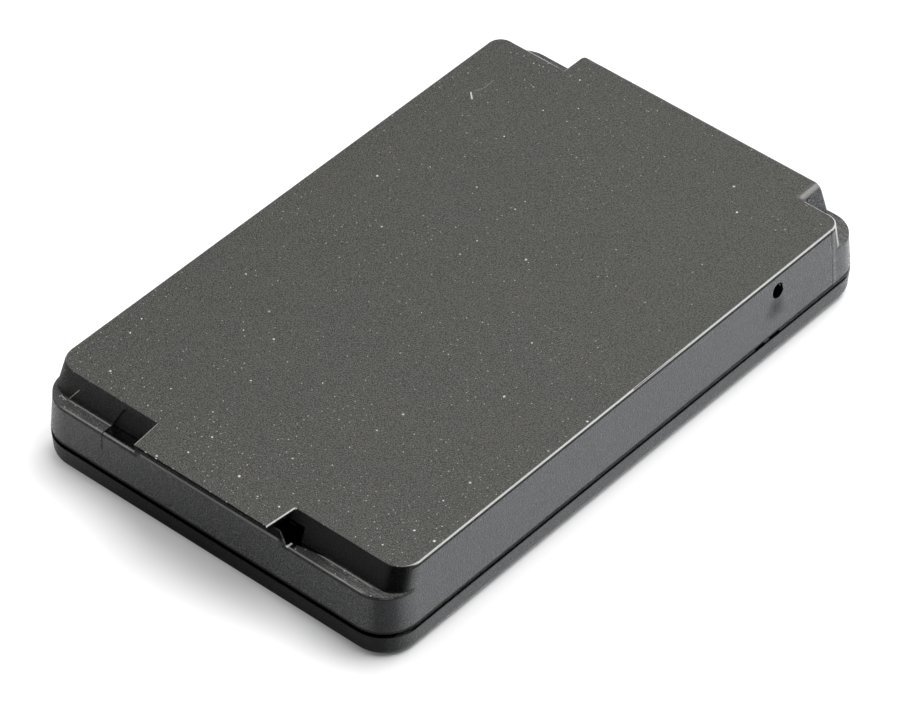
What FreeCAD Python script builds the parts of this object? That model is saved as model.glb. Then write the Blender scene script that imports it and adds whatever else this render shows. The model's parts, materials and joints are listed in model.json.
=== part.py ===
import FreeCAD, Part
import math
import os

from FreeCAD import Vector

# Slim clip-in battery pack of a crane radio transmitter.
# Two moulded case halves close round six small cells, their links and a contact board.
# X runs from the lip (front) to the tongue (back), Z is up, and the origin is below the middle.

# Case, outside
body_length = 94.4
body_width = 60.0
upper_height = 9.5
lower_height = 3.9
draft_angle = 4.5
front_corner_radius = 5.3
back_corner_radius = 5.0
bottom_edge_radius = 1.4
top_edge_radius = 0.25

# Raised plateau and the ledges round its ends
front_ledge_drop = 3.4
back_ledge_drop = 4.0
front_foot_setback = 2.4
front_top_setback = 3.75
back_foot_setback = 4.2
back_top_setback = 4.75
plateau_back_radius = 2.1
plateau_margin = 0.06

# Front lip
lip_overhang = 1.2
lip_thickness = 1.55
lip_undercut = 0.72
lip_root_half = 11.7
lip_front_half = 11.25
lip_block_head = 0.35
lip_block_foot = 1.3
lip_edge_radius = 0.2

# Slots beside the lip
slot_depth = 2.2
slot_wall = 1.0
far_slot_length = 5.3
far_slot_rim = 0.4
wall_relief = 0.3
relief_below_top = 0.5
relief_lean = 1.0
relief_corner = 0.5
slit_width = 0.15
slit_height = 2.7
near_slot_length = 5.6
near_slot_rim = 0.95
pocket_rim = 0.45
pocket_width = 0.7
pocket_reach = 1.0
pocket_setback = 3.8

# Tongue at the back end
tongue_near = -22.5
tongue_far = 17.8
tongue_side_flare = 1.5
tongue_near_radius = 1.5
tongue_far_radius = 0.8
tongue_end_radius = 0.7
tongue_root = 2.0

# Detent hole in the long side
detent_diameter = 2.2
detent_depth = 2.0
detent_from_back = 18.2
detent_above_seam = 6.75
detent_wall = 1.0

# Case walls and the joint between the halves
wall = 1.3
seam_groove = 0.6
rim_height = 1.1
rim_clearance = 0.1
pry_from_back = 20.1
pry_length = 4.9
pry_height = 0.1
pry_depth = 0.5

# Cells
cell_count = 6
cell_diameter = 10.3
cell_length = 44.5
cell_pitch = 10.6
cell_lift = 0.15
button_diameter = 4.0
button_height = 0.9

# Strips
strip_thickness = 0.2
strip_height = 3.0
link_height = 5.0
link_overrun = 2.6

# Tray ribs that hold the cells
seat_gap = 0.2
rail_gap = 0.3
rail_thickness = 1.2
rail_height = 3.4
saddle_width = 2.4
saddle_height = 1.5
stop_height = 5.0
foam_thickness = 3.5
foam_height = 5.0
foam_width = 40.0

# Contact board and contacts
board_width = 40.0
board_thickness = 1.0
board_gap = 1.5
board_end_gap = 2.0
board_corner_radius = 1.0
contact_count = 3
contact_spacing = 12.0
contact_length = 7.0
contact_width = 5.0
contact_thickness = 0.4
contact_flange = 1.0
contact_recess = 0.4
contact_corner_radius = 0.8
window_clearance = 0.2
window_flare = 0.5
post_diameter = 3.2
pin_diameter = 1.6
pin_clearance = 0.15
pin_proud = 0.6
post_inset = 2.8

# Parts on the board
fuse_length = 10.0
fuse_width = 3.8
fuse_height = 2.2
fuse_edge_radius = 0.4
fuse_tab_length = 2.5
fuse_tab_width = 2.4
bead_diameter = 2.4
bead_length = 4.2
bead_leg_length = 2.6
bead_leg_width = 0.5
lead_foot_length = 3.0
lead_lane_gap = 1.2

# Levels and faces worked out from the sizes above
seam_z = lower_height
top_z = lower_height + upper_height
front_ledge_z = top_z - front_ledge_drop
back_ledge_z = top_z - back_ledge_drop
lip_z = top_z - lip_thickness
front_x = lip_overhang - (body_length + lip_overhang) / 2
back_x = front_x + body_length
half_width = body_width / 2
draft = math.tan(math.radians(draft_angle))
same_place = 1e-6
inner_top_z = top_z - wall
floor_z = wall
half_wall = wall / 2
front_slope = (front_top_setback - front_foot_setback) / front_ledge_drop
back_slope = (back_top_setback - back_foot_setback) / back_ledge_drop
root_setback = front_top_setback - front_slope * back_ledge_drop
plateau_front_radius = front_corner_radius + plateau_margin - root_setback

cell_radius = cell_diameter / 2
cell_z = floor_z + cell_lift + cell_radius
first_cell_x = front_x + wall + seat_gap + foam_thickness + seat_gap + cell_radius
last_cell_x = first_cell_x + (cell_count - 1) * cell_pitch
cell_end = cell_length / 2
link_plane = cell_end + strip_thickness
rail_inner = link_plane + rail_gap
rail_outer = rail_inner + rail_thickness
stop_x = last_cell_x + cell_radius + seat_gap

board_x = stop_x + rail_thickness + board_gap
board_length = back_x - wall - board_end_gap - board_x
board_z = floor_z + contact_thickness
board_top = board_z + board_thickness
contact_x = board_x + board_length - contact_length / 2 - contact_flange - board_corner_radius
post_x = board_x + post_inset
post_y = board_width / 2 - post_inset


def draft_inset(z):
    """How far the drafted wall has come in at a height above the parting line."""
    return (z - seam_z) * draft


def rounded_wire(x0, x1, y0, y1, front_radius, back_radius, z):
    """Rounded rectangle with one radius at its front corners and one at its back corners."""
    corners = (
        (x1, y1, back_radius, -1, -1, 0),
        (x0, y1, front_radius, 1, -1, 90),
        (x0, y0, front_radius, 1, 1, 180),
        (x1, y0, back_radius, -1, 1, 270),
    )
    arcs = []
    for x, y, radius, sign_x, sign_y, start in corners:
        centre = Vector(x + sign_x * radius, y + sign_y * radius, z)
        circle = Part.Circle(centre, Vector(0, 0, 1), radius)
        arcs.append(circle.toShape(math.radians(start), math.radians(start + 90)))
    edges = []
    for number, arc in enumerate(arcs):
        following = arcs[(number + 1) % len(arcs)]
        edges.append(arc)
        edges.append(Part.makeLine(arc.lastVertex(True).Point, following.firstVertex(True).Point))
    return Part.Wire(edges)


def ruled_solid(lower, upper):
    """Solid with straight walls between two outlines."""
    return Part.makeLoft([lower, upper], True, True)


def prism(wire, height):
    """Upright solid on an outline."""
    return Part.Face(wire).extrude(Vector(0, 0, height))


def polygon(points):
    """Closed wire through points."""
    return Part.makePolygon([Vector(*point) for point in points] + [Vector(*points[0])])


def block(x0, x1, y0, y1, z0, z1):
    """Box between two corners."""
    return Part.makeBox(x1 - x0, y1 - y0, z1 - z0, Vector(x0, y0, z0))


def rounded_plate(x0, x1, y0, y1, radius, z0, z1):
    """Flat plate with four equal corners."""
    return prism(rounded_wire(x0, x1, y0, y1, radius, radius, z0), z1 - z0)


def case_wire(z, inset=0.0, drafted=True):
    """Outline of the case at a height, moved in by an inset."""
    step = inset + (draft_inset(z) if drafted else 0.0)
    return rounded_wire(
        front_x + step, back_x - step, step - half_width, half_width - step,
        front_corner_radius - step, back_corner_radius - step, z)


def plateau_wire(z, inset=0.0):
    """Outline of the plateau at a height; its ends lean in towards the top."""
    front = front_top_setback - front_slope * (top_z - z) + inset
    back = back_top_setback - back_slope * (top_z - z) + inset
    side = half_width - draft_inset(z) - inset
    return rounded_wire(
        front_x + front, back_x - back, -side, side,
        plateau_front_radius - inset, plateau_back_radius - inset, z)


def lip_half(x):
    """Half width of the lip at a place along its length."""
    root_x = front_x + front_top_setback
    reach = front_top_setback + lip_overhang
    return lip_root_half - (lip_root_half - lip_front_half) * (root_x - x) / reach


def lip_wire(x_start, x_end, flare, z):
    """Outline of the lip or of the block that carries it."""
    near = lip_half(x_start) + flare
    far = lip_half(x_end) + flare
    return polygon(((x_start, -near, z), (x_end, -far, z), (x_end, far, z), (x_start, near, z)))


def level_edges(shape, z):
    """Edges that lie in the plane at a height."""
    return [e for e in shape.Edges if all(abs(v.Z - z) < same_place for v in e.Vertexes)]


def base_solid():
    """Drafted wall from the parting line to the ledges, which lie lower at the back than at the front."""
    back = ruled_solid(case_wire(seam_z), case_wire(back_ledge_z))
    front = ruled_solid(case_wire(seam_z), case_wire(front_ledge_z))
    front_half = block(front_x - wall, 0, -body_width, body_width, 0, top_z)
    return back.fuse(front.common(front_half))


def plateau_solid():
    """Raised middle with a rounded upper edge."""
    plateau = ruled_solid(plateau_wire(back_ledge_z), plateau_wire(top_z))
    return plateau.makeFillet(top_edge_radius, level_edges(plateau, top_z))


def lip_solid():
    """Block in the middle of the front end, with the undercut lip that reaches past the front face."""
    inside = front_x + front_top_setback + plateau_front_radius
    foot = lip_wire(front_x + draft_inset(front_ledge_z), inside, lip_block_foot, front_ledge_z)
    head = lip_wire(front_x + draft_inset(lip_z), inside, lip_block_head, lip_z)
    carrier = ruled_solid(foot, head)
    tip = front_x - lip_overhang
    lip = ruled_solid(
        lip_wire(tip + lip_undercut, inside, -lip_undercut, lip_z), lip_wire(tip, inside, 0.0, top_z))
    upper_edges = [e for e in level_edges(lip, top_z) if e.CenterOfMass.x < inside - same_place]
    return carrier.fuse(lip.makeFillet(lip_edge_radius, upper_edges))


def tongue_solid():
    """Tongue at the back end, flush with the top, with leaning sides and a full round on its near edge."""
    x0 = back_x - back_top_setback - tongue_root
    x1 = back_x - draft_inset(back_ledge_z)
    outline = polygon((
        (x0, tongue_near - tongue_side_flare, back_ledge_z),
        (x0, tongue_far + tongue_side_flare, back_ledge_z),
        (x0, tongue_far, top_z),
        (x0, tongue_near, top_z),
    ))
    tongue = Part.Face(outline).extrude(Vector(x1 - x0, 0, 0))
    for y, radius in ((tongue_near, tongue_near_radius), (tongue_far, tongue_far_radius)):
        along = [e for e in level_edges(tongue, top_z) if abs(e.CenterOfMass.y - y) < same_place]
        tongue = tongue.makeFillet(radius, along)
    end = [e for e in tongue.Edges if all(abs(v.X - x1) < same_place for v in e.Vertexes)]
    end = [e for e in end if e.CenterOfMass.z > back_ledge_z + same_place]
    return tongue.makeFillet(tongue_end_radius, end)


def slot_start():
    """Distance from the middle at which the slots begin, at the foot of the lip's block."""
    return lip_half(front_x + front_foot_setback) + lip_block_foot


def far_slot_tool():
    """Slot along the far side of the lip, the relief in the wall behind it and the slit at its end."""
    start = slot_start()
    end = start + far_slot_length
    rim_x = front_x + draft_inset(front_ledge_z) + far_slot_rim
    back = front_x + front_foot_setback + wall_relief
    relief_z = top_z - relief_below_top
    slot = block(rim_x, back, start, end, front_ledge_z - slot_depth, front_ledge_z)
    side = polygon((
        (rim_x, start, front_ledge_z),
        (back, start, front_ledge_z),
        (back + front_slope * (relief_z - front_ledge_z), start, relief_z),
        (rim_x, start, relief_z),
    ))
    outline = polygon((
        (rim_x, start, front_ledge_z),
        (rim_x, end, front_ledge_z),
        (rim_x, end - relief_lean, relief_z - relief_corner),
        (rim_x, end - relief_lean - relief_corner, relief_z),
        (rim_x, start, relief_z),
    ))
    relief = Part.Face(side).extrude(Vector(0, end - start, 0))
    relief = relief.common(Part.Face(outline).extrude(Vector(front_top_setback, 0, 0)))
    slit = block(
        front_x - wall, rim_x, end - slit_width, end, front_ledge_z - slit_height, front_ledge_z)
    return slot.multiFuse([relief, slit])


def near_slot_tool():
    """Wedge-shaped slot along the near side of the lip, with a pocket that runs in under the lip."""
    start = slot_start()
    rim_x = front_x + draft_inset(front_ledge_z) + near_slot_rim
    foot_x = front_x + front_foot_setback
    low_z = front_ledge_z - slot_depth
    wedge = prism(polygon((
        (rim_x, -start, low_z),
        (foot_x, -start - near_slot_length, low_z),
        (foot_x, -start, low_z),
    )), slot_depth)
    hole = block(rim_x, front_x + pocket_setback, -start - pocket_width, -start, low_z, lip_z)
    pocket_x = front_x + draft_inset(front_ledge_z) + pocket_rim
    pocket = block(
        pocket_x, front_x + pocket_setback, -start, pocket_reach - lip_front_half, low_z, lip_z)
    return wedge.multiFuse([hole, pocket])


def slot_keep():
    """Material kept round the slots when the case is hollowed."""
    start = slot_start()
    low_z = front_ledge_z - slot_depth - slot_wall
    far = block(
        front_x, front_x + front_foot_setback + wall_relief + slot_wall,
        start - slot_wall, start + far_slot_length + slot_wall, low_z, top_z)
    near = block(
        front_x, front_x + pocket_setback + slot_wall,
        -start - near_slot_length - slot_wall, pocket_reach + slot_wall - lip_front_half, low_z, top_z)
    return [far, near]


def detent_cylinder(radius, depth, start=0.0):
    """Round tool that goes in through the near long side."""
    face_y = draft_inset(seam_z + detent_above_seam) - half_width
    place = Vector(back_x - detent_from_back, face_y - start, seam_z + detent_above_seam)
    return Part.makeCylinder(radius, depth + start, place, Vector(0, 1, 0))


def upper_cavity():
    """Hollow of the upper case, less the material kept round the slots and the detent hole."""
    low = ruled_solid(case_wire(seam_z, wall), case_wire(back_ledge_z - wall, wall))
    high = prism(plateau_wire(top_z, wall), -(upper_height - wall))
    high.translate(Vector(0, 0, -wall))
    under_lip = block(
        front_x + wall + draft_inset(top_z), front_x + front_top_setback + plateau_front_radius,
        wall - lip_front_half, lip_front_half - wall, seam_z, inner_top_z)
    under_tongue = block(
        back_x - back_top_setback - tongue_root, back_x - draft_inset(back_ledge_z) - wall,
        tongue_near + wall, tongue_far - wall, seam_z, inner_top_z)
    cavity = low.multiFuse([high, under_lip, under_tongue])
    boss = detent_cylinder(detent_diameter / 2 + detent_wall, detent_depth + detent_wall)
    rebate = prism(case_wire(seam_z, half_wall, False), rim_height)
    return cavity.cut(Part.makeCompound(slot_keep() + [boss])).fuse(rebate)


def upper_case():
    """Moulded upper half."""
    outer = base_solid().multiFuse([plateau_solid(), lip_solid(), tongue_solid()]).removeSplitter()
    groove_z = seam_z + seam_groove / 2
    pry_x = back_x - pry_from_back
    tools = [
        far_slot_tool(),
        near_slot_tool(),
        detent_cylinder(detent_diameter / 2, detent_depth, wall),
        block(front_x - wall, back_x + wall, -body_width, body_width, 0, groove_z),
        block(
            pry_x - pry_length / 2, pry_x + pry_length / 2, -body_width, pry_depth - half_width,
            0, groove_z + pry_height),
    ]
    for tool in tools:
        outer = outer.cut(tool)
    return outer.cut(upper_cavity())


def tray_shell():
    """Lower moulding: drafted outside, rounded bottom edge, rim inside the joint."""
    bottom_step = lower_height * draft
    bottom = rounded_wire(
        front_x + bottom_step, back_x - bottom_step, bottom_step - half_width, half_width - bottom_step,
        front_corner_radius - bottom_step, back_corner_radius - bottom_step, 0.0)
    outer = ruled_solid(bottom, case_wire(seam_z))
    outer = outer.makeFillet(bottom_edge_radius, level_edges(outer, 0.0))
    groove_half = seam_groove / 2
    outer = outer.cut(block(
        front_x - wall, back_x + wall, -body_width, body_width, seam_z - groove_half, seam_z + wall))
    rim = prism(case_wire(seam_z - groove_half, half_wall + rim_clearance, False), groove_half + rim_height)
    hollow_depth = lower_height + rim_height - floor_z
    hollow = prism(case_wire(floor_z, wall, False), hollow_depth)
    return outer.fuse(rim).cut(hollow)


def tray_ribs():
    """Rails at the cell ends, saddles between the cells, a stop behind them and the board posts."""
    ribs = []
    rail_start = first_cell_x - cell_radius
    rail_end = stop_x + rail_thickness
    for side in (1, -1):
        y0, y1 = sorted((side * rail_inner, side * rail_outer))
        ribs.append(block(rail_start, rail_end, y0, y1, floor_z, floor_z + rail_height))
    for number in range(cell_count - 1):
        middle = first_cell_x + (number + 0.5) * cell_pitch
        ribs.append(block(
            middle - saddle_width / 2, middle + saddle_width / 2, -rail_inner, rail_inner,
            floor_z, floor_z + saddle_height))
    ribs.append(block(
        stop_x, stop_x + rail_thickness, -board_width / 2, board_width / 2, floor_z, floor_z + stop_height))
    for side in (1, -1):
        place = Vector(post_x, side * post_y, floor_z)
        ribs.append(Part.makeCylinder(post_diameter / 2, board_z - floor_z, place))
        pin_length = board_top + pin_proud - floor_z
        ribs.append(Part.makeCylinder(pin_diameter / 2, pin_length, place))
    return ribs


def contact_y(number):
    """Side place of a contact, counted from the near side."""
    return (number - (contact_count - 1) / 2) * contact_spacing


def contact_window(number):
    """Window through the tray floor, wider towards the outside."""
    middle = contact_y(number)
    half_x = contact_length / 2 + window_clearance
    half_y = contact_width / 2 + window_clearance
    wires = []
    for z, grow in ((0.0, window_flare), (floor_z, 0.0)):
        radius = contact_corner_radius + grow
        wires.append(rounded_wire(
            contact_x - half_x - grow, contact_x + half_x + grow,
            middle - half_y - grow, middle + half_y + grow, radius, radius, z))
    return ruled_solid(*wires)


def lower_case():
    """Moulded tray with its ribs and contact windows."""
    windows = [contact_window(number) for number in range(contact_count)]
    return tray_shell().multiFuse(tray_ribs()).cut(Part.makeCompound(windows)).removeSplitter()


def cell(number):
    """Cylindrical cell with its plus button."""
    shoulder = cell_length - button_height
    body = Part.makeCylinder(cell_radius, shoulder)
    button = Part.makeCylinder(button_diameter / 2, button_height, Vector(0, 0, shoulder))
    return on_cell_axis(body.fuse(button), number)


def on_cell_axis(shape, number):
    """Lays an upright shape along a cell's place; odd cells have their button at the far side."""
    side = 1 if number % 2 else -1
    shape.rotate(Vector(0, 0, 0), Vector(1, 0, 0), -90 * side)
    shape.translate(Vector(first_cell_x + (number - 1) * cell_pitch, -side * cell_end, cell_z))
    return shape


def cell_link(number):
    """Strip across the ends of two neighbouring cells."""
    y0 = -link_plane if number % 2 else cell_end
    x0 = first_cell_x + (number - 1) * cell_pitch - link_overrun
    x1 = first_cell_x + number * cell_pitch + link_overrun
    half_height = link_height / 2
    return block(x0, x1, y0, y0 + strip_thickness, cell_z - half_height, cell_z + half_height)


def bent_strip(points, z0, z1):
    """Upright strip of one thickness along a line of places; its face lies to the left of the line."""
    path = [Vector(x, y, z0) for x, y in points]
    normals = []
    for start, end in zip(path, path[1:]):
        run = (end - start).normalize()
        normals.append(Vector(-run.y, run.x, 0))
    offsets = [normals[0]]
    for before, after in zip(normals, normals[1:]):
        offsets.append((before + after) * (1 / (1 + before.dot(after))))
    offsets.append(normals[-1])
    other = [place + offset * strip_thickness for place, offset in zip(path, offsets)]
    outline = [tuple(place) for place in path + other[::-1]]
    return Part.Face(polygon(outline)).extrude(Vector(0, 0, z1 - z0))


def lead(start_x, lane_y, drop_x, drop_y):
    """Strip from a cell end along a lane beside the cells, inward over the board and down on to it."""
    z0 = cell_z - strip_height / 2
    z1 = cell_z + strip_height / 2
    bend_x = start_x + button_diameter / 2
    step = lane_y - cell_end
    points = [(start_x - button_diameter / 2, cell_end), (bend_x, cell_end)]
    if step > strip_thickness:
        points.append((bend_x + step, lane_y))
    points.append((drop_x, lane_y))
    points.append((drop_x, drop_y))
    foot = [(drop_x, drop_y + lead_foot_length), (drop_x, drop_y)]
    return bent_strip(points, z0, z1).fuse(bent_strip(foot, board_top, z0))


def contact_board():
    """Circuit board over the contacts, with holes for the tray pins."""
    board = rounded_plate(
        board_x, board_x + board_length, -board_width / 2, board_width / 2,
        board_corner_radius, board_z, board_top)
    for side in (1, -1):
        place = Vector(post_x, side * post_y, board_z)
        board = board.cut(Part.makeCylinder(pin_diameter / 2 + pin_clearance, board_thickness, place))
    return board


def contact(number):
    """Plated contact: a flange under the board and a pad that fills the window."""
    middle = contact_y(number)
    half_x = contact_length / 2
    half_y = contact_width / 2
    pad = rounded_plate(
        contact_x - half_x, contact_x + half_x, middle - half_y, middle + half_y,
        contact_corner_radius, contact_recess, floor_z)
    reach_x = half_x + contact_flange
    reach_y = half_y + contact_flange
    flange = block(
        contact_x - reach_x, contact_x + reach_x, middle - reach_y, middle + reach_y, floor_z, board_z)
    return pad.fuse(flange)


def thermal_fuse():
    """Flat thermal cut-out with a tab at each end, lying on the board."""
    middle_x = board_x + board_length / 2
    half = fuse_length / 2
    body = block(
        middle_x - fuse_width / 2, middle_x + fuse_width / 2,
        -half, half, board_top, board_top + fuse_height)
    upright = [e for e in body.Edges if e.BoundBox.ZLength > fuse_height / 2]
    body = body.makeFillet(fuse_edge_radius, upright)
    tab = block(
        middle_x - fuse_tab_width / 2, middle_x + fuse_tab_width / 2,
        -half - fuse_tab_length, half + fuse_tab_length, board_top, board_top + strip_thickness)
    return body.fuse(tab)


def thermistor():
    """Small resin-coated bead with two legs, lying on the board at its edge towards the cells."""
    radius = bead_diameter / 2
    place = Vector(board_x + radius + bead_leg_width, -board_width / 4, board_top + radius)
    bead = Part.makeCylinder(radius, bead_length, place, Vector(0, -1, 0))
    legs = []
    for y0 in (place.y - bead_leg_width, place.y - bead_length):
        legs.append(block(
            place.x, place.x + radius + bead_leg_length, y0, y0 + bead_leg_width,
            board_top, board_top + bead_leg_width))
    return bead.multiFuse(legs)


def foam_strip():
    """Foam between the front wall and the first cell."""
    x0 = front_x + wall + seat_gap
    return block(x0, x0 + foam_thickness, -foam_width / 2, foam_width / 2, floor_z, floor_z + foam_height)


def all_parts():
    """Every piece by its node name."""
    parts = {"upper_case": upper_case(), "lower_case": lower_case()}
    for number in range(1, cell_count + 1):
        parts["cell_%d" % number] = cell(number)
    for number in range(1, cell_count):
        parts["cell_link_%d" % number] = cell_link(number)
    positive_lane = rail_outer + lead_lane_gap
    positive_drop = board_x + board_length - lead_foot_length
    negative_drop = board_x + post_inset + post_diameter
    inner_foot = board_width / 2 - 2 * lead_foot_length
    parts["positive_lead"] = lead(first_cell_x, positive_lane, positive_drop, inner_foot)
    parts["negative_lead"] = lead(last_cell_x, cell_end, negative_drop, inner_foot)
    parts["contact_board"] = contact_board()
    for number, name in enumerate(("contact_minus", "contact_sense", "contact_plus")):
        parts[name] = contact(number)
    parts["thermal_fuse"] = thermal_fuse()
    parts["thermistor"] = thermistor()
    parts["foam_strip"] = foam_strip()
    return parts


os.makedirs("parts", exist_ok=True)
for node_name, node_shape in all_parts().items():
    node_shape.exportStep("parts/%s.step" % node_name)
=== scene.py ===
import json
import math

import bpy
from mathutils import Matrix, Vector

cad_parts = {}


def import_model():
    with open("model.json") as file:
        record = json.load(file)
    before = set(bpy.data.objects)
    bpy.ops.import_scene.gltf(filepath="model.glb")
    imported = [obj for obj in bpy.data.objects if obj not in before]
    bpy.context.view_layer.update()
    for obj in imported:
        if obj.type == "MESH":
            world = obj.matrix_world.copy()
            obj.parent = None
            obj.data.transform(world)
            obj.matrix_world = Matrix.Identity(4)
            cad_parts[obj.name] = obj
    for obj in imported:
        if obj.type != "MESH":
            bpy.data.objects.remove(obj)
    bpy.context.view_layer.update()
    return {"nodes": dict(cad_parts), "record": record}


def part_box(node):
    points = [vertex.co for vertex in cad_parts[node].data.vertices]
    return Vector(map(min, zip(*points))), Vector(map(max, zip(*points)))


# Looks of a slim clip-in battery pack that lies on a white table.
# The solids of the frame are shown as they are, and every one gets a procedural material.
# Patterns are written in millimetres of the frame: X front to back, -Y the near long side, Z up.

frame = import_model()
nodes = frame["nodes"]

# Camera: the photograph is 912 by 714 pixels
photo_width = 912
focal_pixels = 5635
sensor_mm = 36.0
view_azimuth = math.radians(-49.077)
view_elevation = math.radians(42.402)
view_distance = 0.7253
view_centre = Vector((0.000205, 0.0, 0.0039))
view_shift_right = 0.000197
view_shift_up = -0.001579
nearest_seen = 0.05

# Light
key_direction = Vector((0.42, -0.2, 0.88))
key_distance = 0.8
key_size = 0.9
key_power = 11.5
bright_sky = Vector((0.6, 0.45, 0.66))
sky_fades_from, sky_fades_to = -0.35, 0.85
sky_dark, sky_level = 0.02, 0.72

# Floor; where its glow starts and is full is in millimetres across the view, or away from the middle
floor_size = 4.0
floor_colour = (0.82, 0.82, 0.82, 1.0)
floor_glow = 0.22
glow_from, glow_full = 0.0, -22.0
mirror_right = 1.1
mirror_right_from, mirror_right_full = -13.0, 1.0
mirror_cool = (0.91, 0.95, 1.0)
mirror_left = 0.4
mirror_left_from, mirror_left_full = -42.0, -62.0
mirror_warm = (1.0, 0.93, 0.89)
glow_near, glow_far = 160.0, 600.0

# Heights and places on the case, in millimetres
upper_low, upper_high = (Vector(corner) * 1000 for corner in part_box("upper_case"))
top_z = upper_high.z
tip_x = upper_low.x
ledge_drop = 3.4
ledge_z = top_z - ledge_drop
back_ledge_z = 9.4
lip_z = 11.85
lip_reach = 5.0
lip_half = 11.8
brim_reach = 2.3
foot_line_x = -44.45
ledge_half = 26.0
brow_reach = 7.0
plateau_back = 43.05
tongue_near, tongue_far = -22.5, 18.5
groove_low, groove_high = 3.5, 4.2
groove_face = -29.98
flange_depth = 0.27
notch_ends = ((25.1, 26.8), (28.0, 29.9))
pocket_front, pocket_back = 1.9, 4.9
pocket_near, pocket_far = -13.7, -10.0
pocket_floor = 7.7
slot_near, slot_far = -13.15, -12.85
detent_x, detent_z, detent_radius = 29.6, 10.65, 1.1
crease_x = 40.7
ridge_x = crease_x + 0.5
patch_x, patch_z = detent_x - 0.4, detent_z - 2.4
patch_long, patch_high = 2.7, 2.4
soft = 0.1

# Where a mask starts and where it is full, in millimetres along X, Y or inward from the tip
front_shade_y = (34.0, 10.0)
flange_light_x = (-60.0, 30.0)
lip_dust_inward = (34.0, 0.0)
near_ledge_y = (-15.0, -23.0)
clean_x, clean_y = (-5.0, 20.0), (2.0, -14.0)

# The shade on the ledge lies between two places along Y and fades softly past them
ledge_shade_near, ledge_shade_far, ledge_shade_soft = -16.5, 0.0, 7.0

# Single hairs: start, end and half width; on the top in X and Y, on the ledge too, on the wall in Y and Z
top_hairs = (
    ((31.4, 24.2), (30.4, 23.1), 0.16),
    ((31.9, 23.9), (33.2, 23.4), 0.08),
    ((33.2, 23.4), (35.3, 23.5), 0.08),
)
ledge_hair = ((-44.67, 25.7), (-44.4, 26.9), 0.09)
wall_hair = ((25.6, 10.0), (24.4, 11.7), 0.09)

# How strongly the painted highlights, the painted shade, the dark patch, the scratches and the dust show,
# from 0 to 1
# Painted highlights along edges and lines, and painted light on the groove's flange
edge_highlight_strength = 0.62
lip_rim_highlight = 0.25
foot_highlight = 0.3
ledge_edge_highlight = 0.16
ledge_end_highlight = 0.6
tongue_highlight = 0.2
ridge_highlight = 0.08
flange_light_strength = 0.26
scratch_wear = 0.4
# Painted shade in the near front corner and on the ledge, the dark patch under the small hole, and painted
# shade in the crease
corner_shade_strength = 0.6
ledge_shade_strength = 0.7
dark_patch_strength = 0.85
crease_shade_strength = 0.9
fine_dust = 0.55
film_dust = 0.16
wall_dust = 0.35
hair_dust = 0.6
hole_dust = 0.9
clean_share = 0.6

# Sizes of uneven tones, in millimetres
mottle_size = 6.0
broad_size = 28.0
cluster_size = 8.0
crumb_size = 0.35

# Plastic of the case
plastic_colour = (0.024, 0.0245, 0.026, 1.0)
# Warmer tone of the upward faces
upward_tone_colour = (0.0255, 0.0255, 0.0182, 1.0)
# Light colour of the painted highlights and of the painted light on the groove's flange
highlight_pale = (0.62, 0.62, 0.61, 1.0)
plastic_roughness = 0.42
plastic_gloss = 0.41
plastic_ior = 1.5
# The tray's plastic, painted darker for the shade on it, with painted shade on its front
tray_shaded_colour = (0.022, 0.022, 0.022, 1.0)
tray_gloss = 0.18
tray_shade = 0.85
# Black of the painted shade
shade_colour = (0.004, 0.004, 0.004, 1.0)
# Near black of the painted shade in the small hole and in the crease, and of the dark patch under the hole
shade_and_patch_colour = (0.004, 0.004, 0.005, 1.0)
dust_colour = (0.62, 0.61, 0.57, 1.0)

# Moulded grain: size in millimetres, how much it changes the colour, and its depth in metres
grain_size = 0.17
grain_contrast = 2.9
wall_contrast = 5.0
grain_least = 0.05
grain_depth = 0.000028


class Value:
    """A shader socket that takes part in sums; each operator adds a Math node."""

    def __init__(self, graph, socket):
        self.graph = graph
        self.socket = socket

    def math(self, operation, *terms):
        return self.graph.node("ShaderNodeMath", {"operation": operation}, dict(enumerate(terms)))[0]

    def __add__(self, other):
        return self.math("ADD", self, other)

    def __radd__(self, other):
        return self.math("ADD", other, self)

    def __sub__(self, other):
        return self.math("SUBTRACT", self, other)

    def __rsub__(self, other):
        return self.math("SUBTRACT", other, self)

    def __mul__(self, other):
        return self.math("MULTIPLY", self, other)

    def __rmul__(self, other):
        return self.math("MULTIPLY", other, self)

    def __truediv__(self, other):
        return self.math("DIVIDE", self, other)

    def __rtruediv__(self, other):
        return self.math("DIVIDE", other, self)

    def __pow__(self, other):
        return self.math("POWER", self, other)

    def __rpow__(self, other):
        return self.math("POWER", other, self)

    def __abs__(self):
        return self.math("ABSOLUTE", self)

    def below(self, limit):
        """One where the value is under a limit."""
        return self.math("LESS_THAN", self, limit)

    def sine(self):
        """Sine of the value in radians."""
        return self.math("SINE", self)

    def most(self, *others):
        """The largest of several values."""
        largest = self
        for other in others:
            largest = self.math("MAXIMUM", largest, other)
        return largest

    def rise(self, low, high):
        """Zero up to low, one from high, smooth between; low above high falls instead."""
        settings = {"interpolation_type": "SMOOTHSTEP"}
        inputs = {"Value": self, "From Min": low, "From Max": high}
        return self.graph.node("ShaderNodeMapRange", settings, inputs)["Result"]

    def band(self, low, high, edge):
        """One between two limits, falling off over a soft edge outside them."""
        return self.rise(low - edge, low) * self.rise(high + edge, high)


class Made:
    """A node whose outputs are picked by name or number."""

    def __init__(self, graph, node):
        self.graph = graph
        self.node = node

    def __getitem__(self, key):
        return Value(self.graph, self.node.outputs[key])


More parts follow.
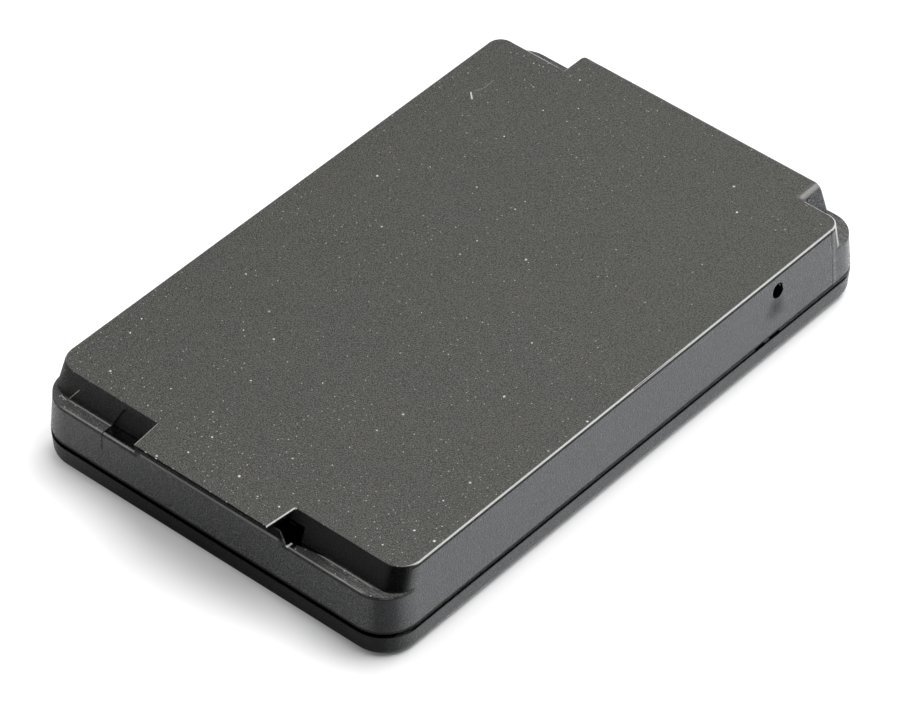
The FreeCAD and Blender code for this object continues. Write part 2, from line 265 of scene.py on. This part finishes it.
class Graph:
    """A node tree in the making."""

    def __init__(self, tree):
        self.tree = tree

    def node(self, kind, settings, inputs):
        """Makes a node: its settings first, then its socket values and links."""
        made = self.tree.nodes.new(kind)
        for name, setting in settings.items():
            setattr(made, name, setting)
        for key, value in inputs.items():
            self.give(made.inputs[key], value)
        return Made(self, made)

    def give(self, socket, value):
        """Links a value to a socket, or sets a plain number or colour on it."""
        if isinstance(value, Value):
            self.tree.links.new(value.socket, socket)
        else:
            socket.default_value = value

    def vector(self, operation, first, second):
        """Vector Math on two vectors."""
        return self.node("ShaderNodeVectorMath", {"operation": operation}, {0: first, 1: second})["Vector"]

    def scaled(self, vector, factor):
        """A vector or colour times a number."""
        inputs = {0: vector, "Scale": factor}
        return self.node("ShaderNodeVectorMath", {"operation": "SCALE"}, inputs)["Vector"]

    def length(self, vector):
        """Length of a vector."""
        return self.node("ShaderNodeVectorMath", {"operation": "LENGTH"}, {0: vector})["Value"]

    def parts(self, vector):
        """The three numbers of a vector."""
        made = self.node("ShaderNodeSeparateXYZ", {}, {0: vector})
        return made["X"], made["Y"], made["Z"]

    def point(self, x, y, z=0.0):
        """A vector from three numbers."""
        return self.node("ShaderNodeCombineXYZ", {}, {"X": x, "Y": y, "Z": z})["Vector"]

    def mix(self, first, second, share):
        """From the first colour to the second; sockets 6, 7 and 2 are the Mix node's colours."""
        inputs = {"Factor": share, 6: first, 7: second}
        return self.node("ShaderNodeMix", {"data_type": "RGBA"}, inputs)[2]

    def noise(self, vector, size, detail=2.0):
        """Smooth noise about a half, with features of a size in millimetres."""
        inputs = {"Vector": vector, "Scale": 1.0 / size, "Detail": detail, "Roughness": 0.5}
        return self.node("ShaderNodeTexNoise", {"noise_dimensions": "3D"}, inputs)["Fac"]

    def cells(self, plane, size):
        """Scattered places on a plane: distance in millimetres, three random numbers, offset."""
        settings = {"voronoi_dimensions": "2D", "feature": "F1"}
        made = self.node("ShaderNodeTexVoronoi", settings, {"Vector": plane, "Scale": 1.0 / size})
        chance = self.node("ShaderNodeSeparateColor", {}, {0: made["Color"]})
        offset = self.vector("SUBTRACT", plane, self.scaled(made["Position"], size))
        return made["Distance"] * size, (chance["Red"], chance["Green"], chance["Blue"]), offset

    def bump(self, height, depth):
        """Normal from a height pattern; depth is in metres."""
        inputs = {"Height": height, "Distance": depth, "Strength": 1.0}
        return self.node("ShaderNodeBump", {}, inputs)["Normal"]


class Material(Graph):
    """A material in the making, with the frame's coordinates in millimetres."""

    def __init__(self, name):
        self.data = bpy.data.materials.new(name)
        self.data.use_nodes = True
        super().__init__(self.data.node_tree)
        self.shader = self.tree.nodes["Principled BSDF"]
        coordinates = self.node("ShaderNodeTexCoord", {}, {})
        self.place = self.scaled(coordinates["Object"], 1000.0)
        self.x, self.y, self.z = self.parts(self.place)
        self.normal_x, self.normal_y, self.normal_z = self.parts(coordinates["Normal"])

    def paint(self, **sockets):
        """Sets the shader's own sockets; underscores stand for spaces."""
        for name, value in sockets.items():
            self.give(self.shader.inputs[name.replace("_", " ")], value)


class CaseMaterial(Material):
    """Material of a case half, with masks for where on the case a point lies."""

    def __init__(self, name):
        super().__init__(name)
        self.grain = self.noise(self.place, grain_size, 1.0).rise(0.3, 0.7)
        self.mottle = self.noise(self.place, mottle_size, 3.0)
        self.facing_up = self.normal_z.rise(0.55, 0.95)
        self.facing_near = self.normal_y.rise(-0.8, -0.95)
        self.facing_front = self.normal_x.rise(-0.5, -0.8)
        self.upright = abs(self.normal_z).rise(0.7, 0.5)
        self.top_plane = self.point(self.x, self.y)
        self.wall_plane = self.point(self.x + self.y, self.z + 40.0)
        self.inward = self.x - tip_x
        self.sideways = abs(self.y)
        self.in_groove = self.z.band(groove_low, groove_high, soft)
        self.above_groove = self.z.rise(groove_high, groove_high + soft)
        self.on_ledge = self.facing_up * self.z.rise(ledge_z + 0.4, ledge_z + 0.2) * self.above_groove
        self.on_round = self.normal_z.rise(0.12, 0.4) * self.normal_z.rise(0.985, 0.93)
        self.on_round = self.on_round * self.z.rise(top_z - 1.6, top_z - 0.9)


def specks(m, plane, size, least, largest, share):
    """Uneven grains scattered over a plane; share is how many of the places hold one."""
    distance, chance, _ = m.cells(plane, size)
    ragged = m.noise(plane, largest * 0.9, 1.0)
    radius = (least + chance[0] ** 2.0 * (largest - least)) * (0.45 + ragged * 1.1)
    return (distance / radius).rise(1.0, 0.4) * chance[1].below(share) * (0.35 + chance[2] * 0.65)


def strokes(m, plane, size, length, width, share):
    """Short straight scratches that lie in every direction."""
    _, chance, offset = m.cells(plane, size)
    inputs = {"Vector": offset, "Angle": chance[0] * (2 * math.pi)}
    turned = m.node("ShaderNodeVectorRotate", {"rotation_type": "Z_AXIS"}, inputs)["Vector"]
    along, across, _ = m.parts(turned)
    run = abs(along).rise(length, length * 0.6)
    return run * abs(across).rise(width, width * 0.4) * chance[1].below(share)


def hair(across, along, start, end, width):
    """Thin straight line between two places of a plane."""
    run = Vector(end) - Vector(start)
    way = run.normalized()
    away_across, away_along = across - start[0], along - start[1]
    forward = away_across * way.x + away_along * way.y
    aside = abs(away_along * way.x - away_across * way.y)
    inside = forward.rise(-width, width) * forward.rise(run.length + width, run.length - width)
    return aside.rise(width, width * 0.3) * inside


def groove_flange(m):
    """Strip deep in the near side of the parting groove that gets painted light and no painted shade,
    broken at the ends of the notch.
    """
    flange = m.in_groove * m.facing_up * m.y.band(groove_face + flange_depth, groove_face + 1.0, soft / 2)
    for start, end in notch_ends:
        flange = flange * (1.0 - m.x.band(start, end, 0.2))
    return flange


def painted_shade_places(m, flange, front_shade):
    """Painted shade: black places in recesses, gaps and pits and darker bands where shade falls; how dark,
    which are deep pits, and where the shine is lost.
    """
    # Painted shade on the notch walls, under the lip's undercut, in the groove, in the pocket and on the
    # band under the lip
    recess = m.normal_x.rise(-0.15, -0.5) * m.z.rise(ledge_z - 0.1, ledge_z + 0.3)
    undercut = m.normal_z.rise(-0.05, -0.25) * m.z.rise(ledge_z, ledge_z + 0.3)
    groove = m.in_groove * (1.0 - flange)
    pocket = m.inward.band(pocket_front, pocket_back, soft) * m.y.band(pocket_near, pocket_far, soft)
    pocket = pocket * m.z.band(pocket_floor, lip_z, soft)
    brim = m.facing_front * m.z.rise(ledge_z + 0.5, ledge_z + 0.6)
    brim = brim * m.inward.rise(brim_reach, brim_reach - 0.2)
    pit = undercut.most(groove, pocket, brim)

    # Painted shade under the ledge's front edge, above the groove, below the near top edge, on the tray's
    # front, in the near front corner and on the ledge
    brow = m.upright * m.inward.rise(brow_reach, brow_reach - 1.0)
    brow = brow * m.sideways.rise(lip_half, lip_half + 0.6)
    brow = brow * m.z.band(ledge_z - 0.42, ledge_z, soft)
    skirt = m.upright * m.z.band(groove_high, groove_high + 0.3, soft)
    shadow_line = m.facing_near * m.z.band(top_z - 0.55, top_z - 0.25, soft)
    shaded = m.facing_front * front_shade * m.y.rise(*front_shade_y)
    corner = m.normal_x.rise(-0.98, -0.84) * m.normal_x.rise(-0.25, -0.65) * m.y.below(0.0) * m.upright
    ledge_shade = m.on_ledge * m.y.band(ledge_shade_near, ledge_shade_far, ledge_shade_soft) * ledge_shade_strength

    black = recess.most(pit, brow, skirt, shadow_line, shaded, corner * corner_shade_strength, ledge_shade)
    shineless = pit.most(shadow_line * 0.7, skirt * 0.5, corner * (0.45 + recess * 0.5), ledge_shade * 0.6)
    return black, pit, shineless


def mould_line(m):
    """Crease across the near wall, darkened with painted shade, and the slight ridge behind it, which gets
    a painted highlight.
    """
    wall = m.facing_near * m.above_groove
    crease = abs(m.x - crease_x).rise(0.13, 0.05) * wall
    ridge = abs(m.x - ridge_x).rise(0.3, 0.1) * wall
    return crease, ridge


def highlight_edges(m):
    """Painted highlight on the rounded upper edges of the long side and of the back, where the mask also
    makes the plastic a little smoother.
    """
    back_rim = m.normal_x.band(0.4, 0.75, 0.15) * m.z.rise(back_ledge_z + 0.1, back_ledge_z + 0.2)
    back_rim = back_rim * m.y.rise(tongue_near, tongue_near - 0.8)
    by_tongue = m.x.rise(plateau_back - 0.9, plateau_back - 0.6)
    by_tongue = by_tongue * m.y.band(tongue_near - 0.4, tongue_far, 0.3)
    on_plateau = m.x.rise(plateau_back + 0.5, plateau_back + 0.3)
    edge_highlight = (m.on_round * m.normal_x.rise(-0.35, -0.1)).most(back_rim) * m.mottle.rise(0.1, 0.4)
    return edge_highlight * on_plateau * (1.0 - by_tongue)


def highlight_lines(m, flange, ridge):
    """Painted highlights as thin light lines along the lip, the ledges, the tongue and the ridge, and
    painted light on the groove's flange.
    """
    front_rim = m.facing_front * m.z.band(ledge_z + 0.15, ledge_z + 0.5, soft)
    front_rim = front_rim * m.sideways.rise(lip_half, lip_half - 0.4)
    foot_line = m.on_ledge * abs(m.x - foot_line_x).rise(0.13, 0.04)
    foot_line = foot_line * m.sideways.rise(ledge_half, ledge_half - 1.0)
    ledge_edge = m.on_ledge * m.inward.band(1.6, 1.8, soft) * m.sideways.rise(ledge_half, ledge_half - 2.0)
    ledge_end = m.on_ledge * m.y.band(slot_near, slot_far, soft / 2) * m.inward.rise(2.8, 2.5)
    tongue_line = m.normal_y.band(-0.6, -0.4, 0.2) * m.x.rise(plateau_back, plateau_back + 0.6)
    tongue_line = tongue_line * m.z.rise(top_z - 1.0, top_z - 0.6) * m.y.below(0.0)
    in_groove = flange * m.x.rise(*flange_light_x)
    on_ledges = (foot_line * foot_highlight).most(ledge_edge * ledge_edge_highlight, ledge_end * ledge_end_highlight)
    on_ends = (front_rim * lip_rim_highlight).most(tongue_line * tongue_highlight)
    return on_ledges.most(on_ends, ridge * ridge_highlight, in_groove * flange_light_strength)


def detent_marks(m):
    """Painted shade inside the small hole in the long side, and a dark patch under it."""
    from_hole = m.length(m.point(m.x - detent_x, m.z - detent_z))
    in_hole = from_hole.below(detent_radius + 0.03) * m.y.below(-20.0)
    from_patch = m.length(m.point((m.x - patch_x) / patch_long, (m.z - patch_z) / patch_high))
    dark_patch = (from_patch + (m.mottle - 0.5) * 1.2).rise(1.05, 0.2) * m.facing_near
    return in_hole, dark_patch


def top_dust(m):
    """Dust on the upward faces, thickest round the lip and on the near ledge."""
    near_lip = m.inward.rise(*lip_dust_inward)
    near_ledge = m.on_ledge * m.y.rise(*near_ledge_y)
    cluster = m.noise(m.place, cluster_size).rise(0.35, 0.65)
    clean = 1.0 - m.x.rise(*clean_x) * m.y.rise(*clean_y) * clean_share
    dense = (0.30 + near_lip * 0.5 + near_ledge * 0.4) * (0.3 + cluster * 1.4) * clean
    fine = specks(m, m.top_plane, size=0.95, least=0.05, largest=0.13, share=dense)
    sparse = (0.2 + near_lip * 0.4) * clean
    coarse = specks(m, m.top_plane, size=3.6, least=0.07, largest=0.235, share=sparse)
    scratches = strokes(m, m.top_plane, size=9.0, length=0.55, width=0.05, share=0.20)
    streaks = m.noise(m.point(m.x * 5.0, m.y * 0.5), 1.0).rise(0.45, 0.65)
    film = near_ledge * streaks * (0.3 + m.grain * 0.7) * film_dust
    return (fine * fine_dust).most(coarse, scratches * scratch_wear, film) * m.facing_up


def single_hairs(m):
    """Hairs that lie on the wall of the far notch, on its ledge and on the top."""
    hairs = hair(m.y, m.z, *wall_hair) * m.facing_front
    hairs = hairs.most(hair(m.x, m.y, *ledge_hair) * m.on_ledge)
    for start, end, width in top_hairs:
        strength = width * width * 40.0
        hairs = hairs.most(hair(m.x, m.y, start, end, width) * m.facing_up * strength)
    return hairs


def dust_layer(m, pit, in_hole):
    """All the dust: on top, on the lip's edge, thinly on the walls, as hairs and in the small hole."""
    on_lip = m.inward.rise(lip_reach + 0.6, lip_reach) * m.sideways.rise(lip_half + 0.5, lip_half)
    chips = specks(m, m.top_plane, size=0.9, least=0.10, largest=0.35, share=0.35) * on_lip * m.on_round
    wall = specks(m, m.wall_plane, size=2.6, least=0.05, largest=0.12, share=0.20)
    wall = wall * (1.0 - m.z.band(groove_low - 0.5, groove_high + 0.4, soft)) * (1.0 - m.facing_up)
    dust = top_dust(m).most(chips, wall * wall_dust, single_hairs(m) * hair_dust)
    dust = dust * (1.0 - in_hole.most(pit, m.in_groove))
    crumbs = m.noise(m.place, crumb_size, 1.0).rise(0.5, 0.62)
    in_hole_dust = in_hole * m.z.band(detent_z - 0.2, detent_z + 0.4, soft) * crumbs
    return dust.most(in_hole_dust * hole_dust)


def case_plastic(name, colour, gloss, front_shade):
    """Black moulded plastic with a fine matt texture, toned and dusted where it faces up, with painted
    shade in recesses and gaps and painted highlights along edges.
    """
    m = CaseMaterial(name)
    flange = groove_flange(m)
    black, pit, shineless = painted_shade_places(m, flange, front_shade)
    crease, ridge = mould_line(m)
    edge_highlight = highlight_edges(m)
    pale = highlight_lines(m, flange, ridge).most(edge_highlight * edge_highlight_strength)
    in_hole, dark_patch = detent_marks(m)
    dust = dust_layer(m, pit, in_hole)

    # Upward faces get a warmer mottled tone, the ledges hardly
    broad = m.noise(m.place, broad_size)
    upward_share = m.facing_up * (0.35 + m.mottle * 0.35 + broad * 0.35) * (1.0 - m.on_ledge * 0.7)
    colour = m.mix(colour, upward_tone_colour, upward_share)
    # Painted shade
    colour = m.mix(colour, shade_colour, black)
    contrast = grain_contrast + m.upright * wall_contrast
    colour = m.scaled(colour, (1.0 + (m.grain - 0.5) * contrast).most(grain_least))
    # Painted highlights along edges and lines, and painted light on the groove's flange
    colour = m.mix(colour, highlight_pale, pale)
    # Painted shade in the small hole and in the crease, and the dark patch under the hole
    colour = m.mix(colour, shade_and_patch_colour, in_hole.most(dark_patch * dark_patch_strength, crease * crease_shade_strength))
    colour = m.mix(colour, dust_colour, dust)

    roughness = plastic_roughness + (m.grain - 0.5) * (0.16 + m.upright * 0.44)
    roughness = roughness + dust * 0.3 + dark_patch * 0.25 - edge_highlight * 0.15 + black * 0.3
    height = m.grain * (2.1 - m.facing_up * 1.1) + dust * 1.5 + ridge - crease * 3.0
    m.paint(Base_Color=colour, Roughness=roughness, Normal=m.bump(height, grain_depth))

    # A near-black metal mirrors next to nothing, so the painted shade and the small hole stay dark from
    # every side
    m.paint(Metallic=shineless.most(in_hole) * (1.0 - dust))
    m.paint(IOR=plastic_ior, Specular_IOR_Level=gloss)
    return m.data


def sleeve():
    """Thin green shrink sleeve over a cell, drawn in a little at random."""
    m = Material("cell sleeve")
    tone = m.noise(m.place, 5.0, 3.0)
    creases = m.noise(m.place, 1.1)
    colour = m.mix((0.020, 0.110, 0.055, 1.0), (0.034, 0.150, 0.078, 1.0), tone)
    m.paint(Base_Color=colour, Roughness=0.24 + creases * 0.18, Normal=m.bump(creases, 0.00006))
    return m.data


def metal(name, dark, light, roughness, streak):
    """Plated strip or pad with fine drawn lines and slight tarnish."""
    m = Material(name)
    lines = m.noise(m.vector("MULTIPLY", m.place, streak), 0.3)
    tarnish = m.noise(m.place, 2.4, 3.0)
    colour = m.mix(light, dark, tarnish.rise(0.4, 0.8))
    m.paint(Metallic=1.0)
    m.paint(Base_Color=colour, Roughness=roughness + lines * 0.2, Normal=m.bump(lines, 0.000006))
    return m.data


def nickel_strip():
    """Bare nickel, drawn along the strip."""
    return metal("nickel strip", (0.40, 0.38, 0.34, 1.0), (0.62, 0.59, 0.55, 1.0), 0.26, (0.1, 0.1, 1.0))


def contact_plating():
    """Gold plating, lightly worn across the pad."""
    return metal("contact plating", (0.62, 0.42, 0.16, 1.0), (0.86, 0.63, 0.27, 1.0), 0.2, (0.1, 1.0, 1.0))


def circuit_board():
    """Green solder resist over a weave that just shows."""
    m = Material("circuit board")
    weave = (m.x * 9.0).sine() * (m.y * 9.0).sine() * 0.5 + 0.5
    tone = m.noise(m.place, 3.0)
    colour = m.mix((0.010, 0.075, 0.028, 1.0), (0.018, 0.105, 0.042, 1.0), weave * 0.5 + tone * 0.5)
    m.paint(Base_Color=colour, Roughness=0.34 + tone * 0.15, Normal=m.bump(weave, 0.000015))
    return m.data


def moulding(name, dark, light, roughness):
    """Small moulded body with a slight uneven tone."""
    m = Material(name)
    tone = m.noise(m.place, 1.6, 3.0)
    grain = m.noise(m.place, 0.12)
    colour = m.mix(dark, light, tone)
    m.paint(Base_Color=colour, Roughness=roughness + grain * 0.12, Normal=m.bump(grain, 0.00001))
    return m.data


def fuse_body():
    """Off-white moulding of the fuse."""
    return moulding("fuse body", (0.50, 0.48, 0.43, 1.0), (0.62, 0.60, 0.54, 1.0), 0.45)


def sensor_resin():
    """Dark dipped resin of the temperature bead."""
    return moulding("sensor resin", (0.016, 0.016, 0.018, 1.0), (0.03, 0.03, 0.034, 1.0), 0.2)


def foam():
    """Dark closed-cell foam with open pores on its cut faces."""
    m = Material("foam")
    pores = m.noise(m.place, 0.55).rise(0.4, 0.62)
    colour = m.mix((0.012, 0.012, 0.013, 1.0), (0.040, 0.040, 0.042, 1.0), pores)
    m.paint(Base_Color=colour, Roughness=0.82 + pores * 0.12, Normal=m.bump(pores, 0.00012))
    return m.data


def dress():
    """Gives each CAD node the material of its slot; the tray gets a copy of the plastic painted darker for
    shade, with painted shade on its front.
    """
    looks = {
        "case_plastic": case_plastic("case plastic", plastic_colour, plastic_gloss, 0.0),
        "cell_sleeve": sleeve(),
        "nickel_strip": nickel_strip(),
        "circuit_board": circuit_board(),
        "contact_plating": contact_plating(),
        "fuse_body": fuse_body(),
        "sensor_resin": sensor_resin(),
        "foam": foam(),
    }
    tray = case_plastic("tray plastic", tray_shaded_colour, tray_gloss, tray_shade)
    for entry in frame["record"]["subparts"]:
        mesh = nodes[entry["node"]].data
        mesh.materials.clear()
        mesh.materials.append(tray if entry["node"] == "lower_case" else looks[entry["material_slot"]])


def camera():
    """Camera at the photograph's place and angle."""
    flat = math.cos(view_elevation)
    back = Vector((
        math.sin(view_azimuth) * flat, -math.cos(view_azimuth) * flat, math.sin(view_elevation)))
    right = Vector((math.cos(view_azimuth), math.sin(view_azimuth), 0.0))
    up = back.cross(right)
    eye = view_centre + back * view_distance + right * view_shift_right + up * view_shift_up
    data = bpy.data.cameras.new("camera")
    data.sensor_fit = "HORIZONTAL"
    data.sensor_width = sensor_mm
    data.lens = sensor_mm * focal_pixels / photo_width
    data.clip_start = nearest_seen
    made = bpy.data.objects.new("camera", data)
    bpy.context.collection.objects.link(made)
    turn = Matrix((right, up, back)).transposed()
    made.matrix_world = Matrix.Translation(eye) @ turn.to_4x4()
    bpy.context.scene.camera = made


def key_light():
    """Square soft light that points at the object."""
    data = bpy.data.lights.new("key", "AREA")
    data.shape = "SQUARE"
    data.size = key_size
    data.energy = key_power
    made = bpy.data.objects.new("key", data)
    bpy.context.collection.objects.link(made)
    away = key_direction.normalized()
    made.location = away * key_distance
    made.rotation_euler = away.to_track_quat("Z", "Y").to_euler()


def world():
    """Soft surroundings, bright behind the object and dark in front of it."""
    made = bpy.data.worlds.new("studio")
    bpy.context.scene.world = made
    made.use_nodes = True
    sky = Graph(made.node_tree)
    coordinates = sky.node("ShaderNodeTexCoord", {}, {})
    inputs = {0: coordinates["Generated"], 1: bright_sky.normalized()}
    facing = sky.node("ShaderNodeVectorMath", {"operation": "DOT_PRODUCT"}, inputs)["Value"]
    level = sky_dark + facing.rise(sky_fades_from, sky_fades_to) * (sky_level - sky_dark)
    background = sky.tree.nodes["Background"]
    sky.give(background.inputs["Color"], (1.0, 1.0, 1.0, 1.0))
    sky.give(background.inputs["Strength"], level)


def floor():
    """White table that keeps the shadow of the object."""
    half = floor_size / 2
    corners = [(-half, -half, 0.0), (half, -half, 0.0), (half, half, 0.0), (-half, half, 0.0)]
    mesh = bpy.data.meshes.new("floor")
    mesh.from_pydata(corners, [], [(0, 1, 2, 3)])
    made = bpy.data.objects.new("floor", mesh)
    bpy.context.collection.objects.link(made)
    m = Material("white table")
    speckle = m.noise(m.place, 1.5)
    m.paint(Base_Color=floor_colour, Roughness=0.6 + speckle * 0.1, Specular_IOR_Level=0.2)

    # A glow that only the camera and reflections see whitens the table and leaves the shadow
    path = m.node("ShaderNodeLightPath", {}, {})
    across = m.x * math.cos(view_azimuth) + m.y * math.sin(view_azimuth)
    seen = path["Is Camera Ray"] * across.rise(glow_from, glow_full) * floor_glow
    right = path["Is Glossy Ray"] * across.rise(mirror_right_from, mirror_right_full) * mirror_right
    left = path["Is Glossy Ray"] * across.rise(mirror_left_from, mirror_left_full) * mirror_left
    glow = m.vector("ADD", m.point(seen, seen, seen), m.scaled(mirror_cool, right))
    glow = m.vector("ADD", glow, m.scaled(mirror_warm, left))
    m.paint(Emission_Strength=1.0)
    m.paint(Emission_Color=m.scaled(glow, m.length(m.place).rise(glow_far, glow_near)))
    mesh.materials.append(m.data)


dress()
camera()
key_light()
world()
floor()
bpy.context.scene.view_settings.view_transform = "Standard"
